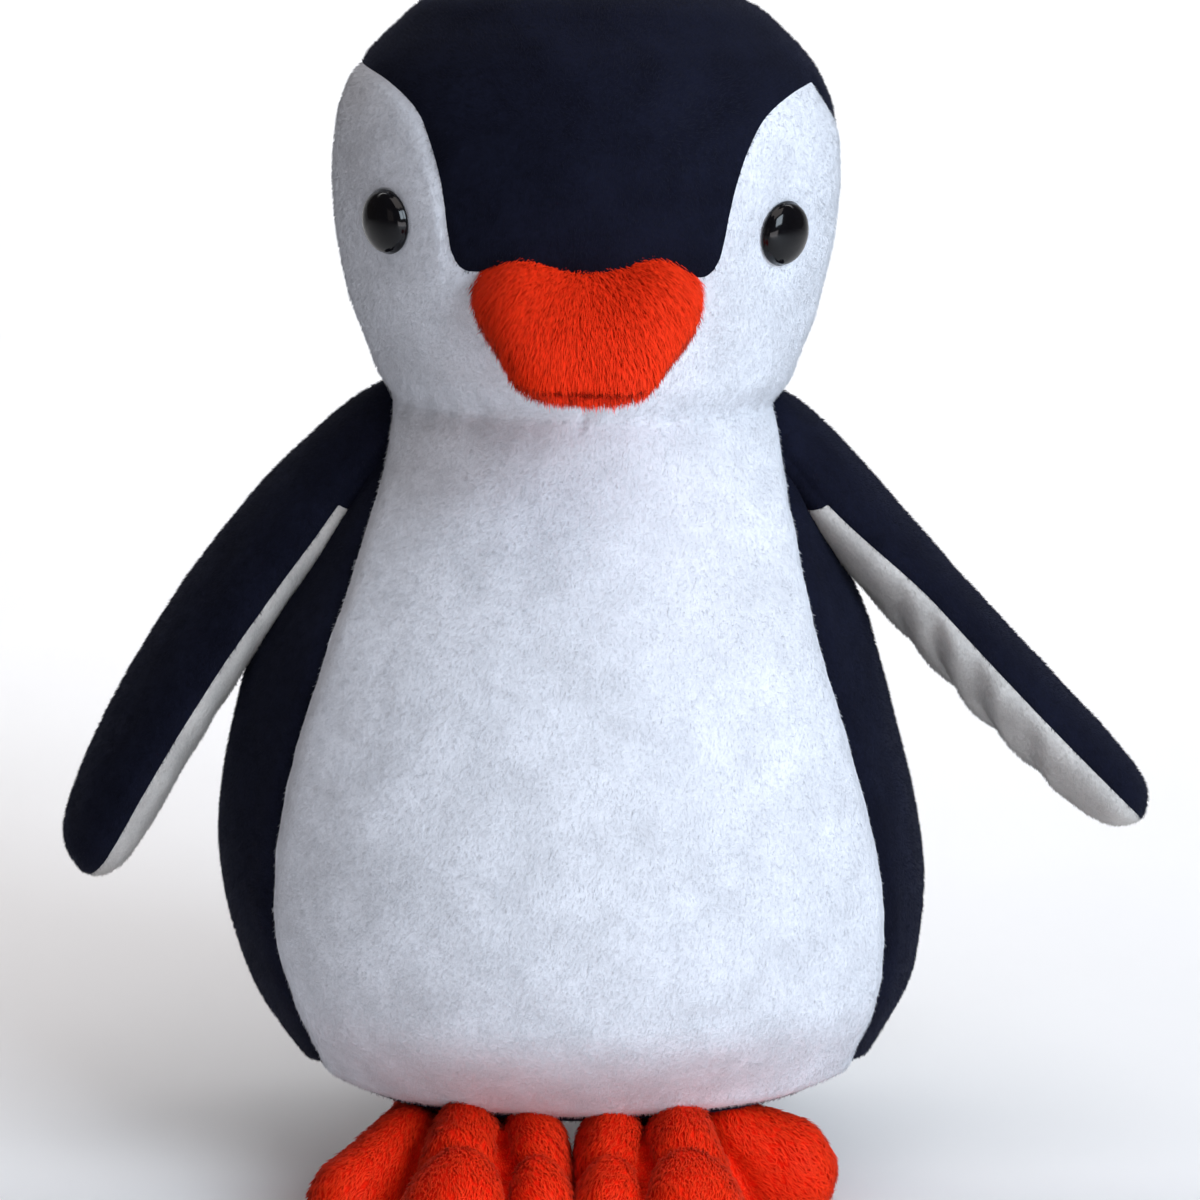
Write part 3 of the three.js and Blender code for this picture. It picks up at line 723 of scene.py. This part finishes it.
def make_eye(side, name):
    """A domed safety eye with a thin flange, set into the cheek."""
    radius = (high_mm(name + "_eye")[2] - low_mm(name + "_eye")[2]) / 2
    slope = (along_z(SKIN_PROFILE, EYE_HEIGHT + 4) - along_z(SKIN_PROFILE, EYE_HEIGHT - 4)) / 8
    r = along_z(SKIN_PROFILE, EYE_HEIGHT)
    facing = unit(np.array([side * EYE_X / r, eye_depth() / (DEPTH_RATIO**2 * r), -slope]))
    seat = np.array([side * EYE_X, eye_depth(), EYE_HEIGHT]) - facing * EYE_SUNK
    profile = [(0, 0), (radius - 0.7, 0), (radius - 0.1, 0.35), (radius, 0.9), (radius - 0.35, 1.5)]
    steps = 18
    for k in range(1, steps + 1):
        angle = math.pi / 2 * k / steps
        rise = (EYE_DOME - FLANGE_TOP) * math.sin(angle)
        profile.append(((radius - 0.5) * math.cos(angle), FLANGE_TOP + rise))
    profile = np.array(profile)
    profile[:, 0] = np.maximum(profile[:, 0], 0.01)
    columns = 72
    around = np.linspace(0, 2 * math.pi, columns, endpoint=False)
    across = unit(np.cross(facing, [0, 0, 1.0]))
    up = np.cross(across, facing)
    ring = np.cos(around)[:, None] * across + np.sin(around)[:, None] * up
    v = seat + profile[:, 0][:, None, None] * ring[None] + profile[:, 1][:, None, None] * facing
    v = tipped(v.reshape(-1, 3))
    eye = mesh_object(name + "_eye_button", v, grid_tris(len(profile), columns), EYE_PLASTIC)
    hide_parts(name + "_eye")
    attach(eye, "head")


# ------------------------------------------------------------------ beak

# Half widths and half heights of the beak at each distance ahead of its root.
BEAK_PLAN = [(31.5, -14), (31.5, 0), (28.5, 10), (24.5, 20.5), (21.3, 29), (18, 36.5), (11.5, 41), (0, 42)]
BEAK_HEIGHT = [(13, -14), (13.6, 0), (13.2, 12), (11.6, 24), (9, 33), (5.8, 38.8), (0, 42)]
BEAK_ROOT = (1.3, -65.5, 292.5)
BEAK_DROOP = math.radians(30)
BEAK_LENGTH = 42
BEAK_TOP_SHARE = 0.66  # the upper side keeps this much of the half height
BEAK_SEAM_DROP = 1.5  # the seam lies this far below the beak's middle
BEAK_HIDDEN = 10  # the beak is cut off this far inside the head


def beak_points(rows, columns):
    """A plump blunt wedge, flat across the top, as points (across, ahead, up)."""
    plan = even(spline(BEAK_PLAN, 300), rows)
    height = spline(BEAK_HEIGHT, 300)
    half_wide = np.maximum(plan[:, 0], 0.02)[:, None]
    half_high = np.interp(plan[:, 1], height[:, 1], np.maximum(height[:, 0], 0.02))[:, None]
    around = np.linspace(0, 2 * math.pi, columns, endpoint=False)[None]
    sin, cos = np.sin(around), np.cos(around)
    upper = smoothstep(cos, -0.3, 0.3)
    x = half_wide * np.sign(sin) * np.abs(sin) ** (0.95 - 0.4 * upper) * (1 - 0.27 * np.clip(-cos, 0, 1))
    under = 1.3 - 0.8 * smoothstep(plan[:, 1], 0, BEAK_LENGTH)[:, None]
    z = half_high * np.sign(cos) * np.abs(cos) ** 0.85 * (under + (BEAK_TOP_SHARE - under) * upper)
    ahead = plan[:, 1][:, None] + 0 * x
    # Its top swells up on each side of its middle, where it meets the cap.
    near_root = smoothstep(-ahead, -26, 0) * (cos > 0) * np.abs(cos)
    z = z + near_root * (3.4 * np.exp(-(((np.abs(x) - 20) / 9) ** 2)) - 0.8)
    return np.stack([x, ahead, z], -1).reshape(-1, 3)


def make_beak():
    """The beak in its place on the head, cut into its two panels."""
    rows, columns = 70, 110
    flat = beak_points(rows, columns)
    tris = grid_tris(rows, columns)[:, ::-1]
    seam = flat[:, 2] + BEAK_SEAM_DROP
    ahead = np.array([0, -math.cos(BEAK_DROOP), -math.sin(BEAK_DROOP)])
    upward = np.array([0, -math.sin(BEAK_DROOP), math.cos(BEAK_DROOP)])
    v = flat[:, :1] * [1, 0, 0] + flat[:, 1:2] * ahead + flat[:, 2:] * upward + BEAK_ROOT
    v = tipped(v)
    n = normals_of(v, tris)
    v = v + n * (0.6 * wobble(flat, 13, 30))[:, None]
    whole = Surface(np.hstack([v, n, seam[:, None]]), tris)
    shown = whole.clip(flat[:, 1] + BEAK_HIDDEN)

    def comb(points):
        """The nap runs outwards from the root, ahead and down."""
        out = unit(points - tipped(np.array([BEAK_ROOT])))
        return out + ahead * 0.7 + [0, 0, -0.8]

    for name, part, nodes, lift, seed in (
        ("beak_upper", shown.clip(FIELD), ["beak_upper_panel", "beak_stuffing"], 27, 31),
        ("beak_lower", shown.clip(-shown.values[:, FIELD]), ["beak_lower_panel"], 52, 32),
    ):
        cloth = mesh_object(name, part.v, part.tris, ORANGE_CLOTH)
        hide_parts(*nodes)
        fibres = strands(
            name + "_pile", part, ORANGE_PILE, length=4.2, width=0.42, density=8.5, comb=comb, lift=lift,
            clump=(5, 0.5), droop=0.12, long=True, seed=seed,
        )
        for obj in (cloth, fibres):
            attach(obj, "head")


# ------------------------------------------------------------------ flippers

FLIPPER_LENGTH = 160
SHOULDER = (72.5, 238)
# root and tip are the angles from straight down, in degrees, and twists the turns about the
# flipper's own length near its root and beyond. folds is how deep the lining's folds are, drop
# moves the flipper in towards the body, and reach lengthens it.
FLIPPERS = {
    "left": {
        "side": 1, "root": 40, "tip": 46, "twists": (9, -5), "folds": 1.0, "drop": 3.2, "reach": 1.0,
    },
    "right": {
        "side": -1, "root": 43.5, "tip": 24, "twists": (17, 18), "folds": 0.25, "drop": -0.5, "reach": 1.03,
    },
}
LINING_START = 5  # the white lining begins this far from the shoulder
# Half widths and half thicknesses at each distance from the shoulder.
FLIPPER_WIDTH = [
    (8, -27), (17, -14), (22, 4), (27.5, 30), (30, 75), (28.3, 115), (24, 143), (15.3, 156), (0, 161),
]
FLIPPER_THICK = [
    (6, -27), (10, -14), (12, 4), (12.8, 30), (13, 75), (12.8, 115), (12, 137), (9.2, 153), (0, 161),
]
# Folds across the lining: distance from the shoulder, slant, depth.
LINING_FOLDS = ((88, 0.9, 2.1), (108, 0.9, 1.6), (66, 0.7, 0.9), (128, 0.8, 0.9))
FOLD_WIDTH = 5.0


def flipper_curve(u, out, back, pose):
    """Takes length, outward and backward distances of a straight flipper to its hanging place."""
    root, tip = math.radians(pose["root"]), math.radians(pose["tip"])
    bend = (tip - root) / FLIPPER_LENGTH
    near, far = (math.radians(t) for t in pose["twists"])
    twist = near + (far - near) * smoothstep(u, -5, 60)
    u = u * pose["reach"]
    angle = root + bend * np.clip(u, 0, None)
    straight = np.minimum(u, 0)
    x = SHOULDER[0] + (np.cos(root) - np.cos(angle)) / bend + straight * math.sin(root)
    z = SHOULDER[1] - (np.sin(angle) - np.sin(root)) / bend - straight * math.cos(root)
    b = back * np.cos(twist) - out * np.sin(twist)
    o = back * np.sin(twist) + out * np.cos(twist) - pose["drop"]
    return np.stack([pose["side"] * (x + o * np.cos(angle)) + LEAN, b, z + o * np.sin(angle)], -1)


def make_flipper(name):
    """A flat stuffed flipper, cut into its black outer panel and its white lining."""
    pose = FLIPPERS[name]
    rows, columns = 130, 120
    wide = even(spline(FLIPPER_WIDTH, 400), rows)
    thick_at = spline(FLIPPER_THICK, 400)
    u = wide[:, 1][:, None]
    half_wide = np.maximum(wide[:, 0], 0.02)[:, None]
    half_thick = np.interp(wide[:, 1], thick_at[:, 1], np.maximum(thick_at[:, 0], 0.02))[:, None]
    around = np.linspace(0, 2 * math.pi, columns, endpoint=False)[None]
    cos, sin = np.cos(around), np.sin(around)
    back = half_wide * np.sign(cos) * np.abs(cos) ** 0.95
    out = half_thick * np.sign(sin) * np.abs(sin) ** 1.08
    shape = np.broadcast_arrays(u, back, out, half_wide, half_thick)
    u, back, out, half_wide, half_thick = (a.ravel() for a in shape)
    tris = grid_tris(rows, columns)
    if pose["side"] < 0:
        tris = tris[:, ::-1]
    flat = np.stack([u, back, out], -1)
    edge = np.abs(out) / np.maximum(half_thick, 0.02)
    push = groove(edge * 12, 1.0, 2.2) * (half_wide > 4)
    push += 0.7 * wobble(flat, 22, 21 + pose["side"]) + 0.3 * wobble(flat, 9, 25 + pose["side"])
    lining = smoothstep(-out, 0, 6)
    for place, slant, depth in LINING_FOLDS:
        d = (u - place - slant * back) / FOLD_WIDTH
        push += pose["folds"] * lining * depth * (-np.exp(-(d**2)) + 0.55 * np.exp(-((d - 1.7) ** 2)))
    scale = 1 + push / np.maximum(np.hypot(back, out), 3.0)
    v = flipper_curve(u, out * scale, back * scale, pose)
    n = normals_of(v, tris)
    black = np.maximum(out, (LINING_START + 0.012 * back**2 - u) * 0.8)
    whole = Surface(np.hstack([v, n, black[:, None]]), tris)

    def place(obj):
        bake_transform(obj)

    outer, inner = f"{name}_flipper_outer", f"{name}_flipper_inner"
    stuffed = [outer + "_panel", f"{name}_flipper_stuffing"]
    lined = whole.clip(-whole.values[:, FIELD])
    cloth_and_pile(outer, whole.clip(FIELD), BLACK, place, stuffed, 1.8, seed=41 + pose["side"])
    cloth_and_pile(inner, lined, LINING, place, [inner + "_panel"], 1.8, seed=45 + pose["side"])


# ------------------------------------------------------------------ feet

FOOT_X = 37
FOOT_SINK = 4  # the toes' round undersides reach this far below the ground, and are pressed flat
FOOT_PAD = ((FOOT_X - 2, -18, 7), (27, 58, 26))  # its centre and radii
FOOT_VOXEL = 2.0
FOOT_LOW = 0.6  # the cloth's lowest point, above the ground
SOLE_SEAM = 4.0
GATHER_Y, GATHER_WIDTH = 82, 3.4  # the stitches across the top of the toes
KNUCKLE_Y, KNUCKLE_WIDTH = 96, 8  # the swelling ahead of them
HEEL_Y = 28  # behind this the pile is thinner, under the body
# Each toe's root and tip as (x, y, height of its top), with its radius there.
TOES = {
    "left": [
        ((12.4, -61, 44), (12.2, -94, 33), 11.3, 10.8),
        ((34, -61, 45), (37, -97, 35), 12.5, 15.8),
        ((50, -42, 38), (69.5, -44, 31), 13, 14),
    ],
    "right": [
        ((11.6, -61, 44), (9.3, -94, 33), 11.3, 10.3),
        ((33, -61, 45), (34.5, -98, 35), 12.5, 16.5),
        ((50, -48, 38), (67.5, -73, 30), 13, 14),
    ],
}


def toe_points(root, tip, root_radius, tip_radius):
    """A round-ended toe between two (x, y, height of its top)."""
    rows, columns, end = 26, 22, 0.25
    a, b = np.array(root[:2], float), np.array(tip[:2], float)
    length = np.linalg.norm(b - a)
    ahead = (b - a) / length
    across = np.array([ahead[1], -ahead[0]])
    along = np.linspace(-end, 1 + end, rows)
    share = np.clip(along, 0, 1)
    swing = np.clip(np.abs(along - 0.5) - 0.5, 0, end) / end * math.pi / 2
    radius = root_radius + (tip_radius - root_radius) * share
    r = radius * np.cos(swing)
    run = share * length + np.sign(along - share) * radius * np.sin(swing)
    top = root[2] + (tip[2] - root[2]) * share
    half = (top + FOOT_SINK) / 2 * np.cos(swing)
    around = np.linspace(0, 2 * math.pi, columns, endpoint=False)
    xy = a + run[:, None, None] * ahead + (r[:, None] * np.cos(around))[..., None] * across
    z = ((top - FOOT_SINK) / 2)[:, None] + half[:, None] * np.sin(around)
    return np.concatenate([xy, z[..., None]], -1).reshape(-1, 3), grid_tris(rows, columns)


def pad_points(centre, radii):
    """A rounded lump that the toes grow out of."""
    rows, columns = 24, 36
    across = np.linspace(0.001, math.pi - 0.001, rows)[:, None]
    around = np.linspace(0, 2 * math.pi, columns, endpoint=False)[None]
    sin, cos = np.sin(across), np.cos(across)
    ball = np.stack([sin * np.cos(around), sin * np.sin(around), -cos + 0 * around], -1)
    return ball.reshape(-1, 3) * radii + centre, grid_tris(rows, columns)


def joined(parts):
    """Several (points, triangles) as one."""
    points, tris, start = [], [], 0
    for v, t in parts:
        points.append(v)
        tris.append(t + start)
        start += len(v)
    return np.vstack(points), np.vstack(tris)


def remeshed(v, tris, voxel, rounds):
    """One skin around overlapping shapes, relaxed where they meet."""
    obj = mesh_object("rough", v, tris, ORANGE_CLOTH)
    remesh = obj.modifiers.new("skin", "REMESH")
    remesh.mode = "VOXEL"
    remesh.voxel_size = voxel * MM
    relax = obj.modifiers.new("relax", "SMOOTH")
    relax.factor = 0.5
    relax.iterations = rounds
    shaped = obj.evaluated_get(bpy.context.evaluated_depsgraph_get())
    mesh = bpy.data.meshes.new_from_object(shaped)
    mesh.calc_loop_triangles()
    out = np.zeros(len(mesh.vertices) * 3, np.float32)
    mesh.vertices.foreach_get("co", out)
    index = np.zeros(len(mesh.loop_triangles) * 3, np.int32)
    mesh.loop_triangles.foreach_get("vertices", index)
    bpy.data.objects.remove(obj)
    bpy.data.meshes.remove(mesh)
    return out.reshape(-1, 3).astype(float) / MM - ORIGIN, index.reshape(-1, 3)


def relaxed(v, tris, rounds):
    """The points after each has moved to the middle of its neighbours, round after round."""
    pairs = np.vstack([tris[:, [0, 1]], tris[:, [1, 2]], tris[:, [2, 0]]])
    pairs = np.vstack([pairs, pairs[:, ::-1]])
    share = 1 / np.maximum(np.bincount(pairs[:, 0], minlength=len(v)), 1)[:, None]
    for _ in range(rounds):
        sums = [np.bincount(pairs[:, 0], v[pairs[:, 1], k], len(v)) for k in range(3)]
        v = np.stack(sums, axis=1) * share
    return v


def make_foot(name):
    """A stuffed foot with three toes, cut into its top and its sole."""
    side = 1 if name == "left" else -1
    v, tris = joined([pad_points(*FOOT_PAD)] + [toe_points(*toe) for toe in TOES[name]])
    v = v * [side, 1, 1]
    if side < 0:
        tris = tris[:, ::-1]
    v, tris = remeshed(v, tris, FOOT_VOXEL, rounds=2)
    # The underside is pressed flat, and the valleys between the toes are deepened.
    v[:, 2] = np.where(v[:, 2] < 2.5, FOOT_LOW + 0.76 * np.clip(v[:, 2], 0, None), v[:, 2])
    n = normals_of(v, tris)
    valley = smoothstep(np.sum((relaxed(v, tris, rounds=14) - v) * n, axis=1), 0.25, 1.6)
    push = 0.8 * wobble(v, 14, 50 + side) - 2.6 * valley
    # Stitches gather the top of the toes across their middle.
    gather = smoothstep(v[:, 2], 18, 27) * smoothstep(58 - np.abs(v[:, 0]), 0, 8)
    drawn_in = np.exp(-(((v[:, 1] + GATHER_Y) / GATHER_WIDTH) ** 2))
    swollen = np.exp(-(((v[:, 1] + KNUCKLE_Y) / KNUCKLE_WIDTH) ** 2))
    push += gather * (-2.0 * drawn_in + 0.9 * swollen)
    v = v + n * (push * smoothstep(v[:, 2], 1, 8))[:, None]
    v[:, 2] = np.maximum(v[:, 2], FOOT_LOW)
    n = normals_of(v, tris)
    whole = Surface(np.hstack([v, n, 1 - 0.65 * valley[:, None]]), tris)
    top = whole.clip(v[:, 2] - SOLE_SEAM)
    sole = whole.clip(SOLE_SEAM - v[:, 2])

    def comb(points):
        """The nap runs outwards from the ankle and a little down."""
        out = points - np.array([side * FOOT_X, -20, 30])
        out[:, 2] = -12
        return unit(out)

    upper = mesh_object(f"{name}_foot", top.v, top.tris, ORANGE_CLOTH)
    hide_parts(f"{name}_foot_top_panel", f"{name}_foot_stuffing")
    under = mesh_object(f"{name}_foot_sole", sole.v, sole.tris, ORANGE_CLOTH)
    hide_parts(f"{name}_foot_sole_panel")
    pile = {"comb": comb, "droop": 0.1, "long": True, "shorter": FIELD}
    front = strands(
        f"{name}_toes_pile", top.clip(-(top.v[:, 1] + HEEL_Y)), ORANGE_PILE, length=2.7, width=0.5,
        density=6.5, lift=26, clump=(5, 0.4), seed=51 + side, **pile,
    )
    heel = strands(
        f"{name}_heel_pile", top.clip(top.v[:, 1] + HEEL_Y), ORANGE_PILE, length=4.0, width=0.6,
        density=2.2, lift=34, clump=(5, 0.6), seed=55 + side, **pile,
    )
    for obj in (upper, under, front, heel):
        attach(obj, f"{name}_foot")


# ------------------------------------------------------------------ camera, light and floor


def look_at(obj, target):
    """Turns a light towards a point."""
    way = Vector(target) - obj.location
    obj.rotation_euler = way.to_track_quat("-Z", "Y").to_euler()


def make_camera():
    """The photo's view: about a metre ahead, a little above the toy and slightly to its left."""
    aside, distance, height, pitch = 9, 1000, 400, math.radians(11.86)
    data = bpy.data.cameras.new("camera")
    data.sensor_width = 36
    data.lens = 95.8
    camera = bpy.data.objects.new("camera", data)
    camera.location = row((aside, -distance, height))
    camera.rotation_euler = (math.pi / 2 - pitch, 0, 0)
    bpy.context.scene.collection.objects.link(camera)
    bpy.context.scene.camera = camera


def area_light(name, place, target, size, power, colour):
    """A rectangle of light at a place, facing a target; its size is in metres."""
    data = bpy.data.lights.new(name, "AREA")
    data.shape = "RECTANGLE"
    data.size, data.size_y = size
    data.energy = power
    data.color = colour
    light = bpy.data.objects.new(name, data)
    light.location = row(place)
    bpy.context.scene.collection.objects.link(light)
    look_at(light, row(target))


def make_stage():
    """A pale floor that curves up into a wall behind the toy."""
    material, nodes, links, shader = new_material("pale_backdrop", Roughness=0.9)
    speckle = noise_node(nodes, links, scale=3, detail=2)
    shades = [(0.3, (0.86, 0.86, 0.87)), (0.7, (0.9, 0.9, 0.91))]
    ramp = ramp_node(nodes, links, speckle.outputs["Fac"], shades)
    links.new(ramp.outputs["Color"], shader.inputs["Base Color"])
    half, front, floor_end, bend, height, steps = 3000, -2500, 900, 900, 3200, 12
    section = [(front, 0), (floor_end, 0)]
    for k in range(1, steps + 1):
        angle = math.pi / 2 * k / steps
        section.append((floor_end + bend * math.sin(angle), bend - bend * math.cos(angle)))
    section.append((floor_end + bend, height))
    points = np.array([(x, y, z) for y, z in section for x in (-half, half)], float)
    faces = [(2 * k, 2 * k + 1, 2 * k + 3, 2 * k + 2) for k in range(len(section) - 1)]
    mesh_object("backdrop", points, faces, material)


def make_light():
    """A cool key light high on the toy's left, with weaker lights, as the photo's shading shows."""
    middle = (0, 0, 200)
    area_light("key", (880, -1030, 860), middle, (0.7, 0.7), 17.8, (0.76, 0.886, 1.0))
    area_light("fill", (-1300, -1200, 500), middle, (0.7, 0.7), 0.4, (1.0, 0.85, 0.8))
    area_light("low", (330, -1130, 60), (0, 0, 40), (1.2, 0.4), 5.0, (1.0, 0.95, 0.98))
    area_light("top", (200, -500, 1500), middle, (1.0, 1.0), 6, (1.0, 0.92, 0.89))
    area_light("wall", (0, 500, 1400), (0, 1700, 500), (2.5, 0.8), 26, (1.0, 1.0, 1.0))
    world = bpy.data.worlds.new("studio")
    world.use_nodes = True
    background = world.node_tree.nodes["Background"]
    background.inputs["Color"].default_value = (1.0, 0.87, 0.86, 1)
    background.inputs["Strength"].default_value = 0.075
    bpy.context.scene.world = world


# ------------------------------------------------------------------ the toy

make_camera()
make_stage()
make_light()
make_body_and_head()
for side, name in ((1, "left"), (-1, "right")):
    make_eye(side, name)
    make_flipper(name)
    make_foot(name)
make_beak()
for name in ("left_eye_washer", "right_eye_washer"):
    frame["nodes"][name].data.materials.clear()
    frame["nodes"][name].data.materials.append(WASHER_PLASTIC)

bpy.context.scene.view_settings.view_transform = "Standard"
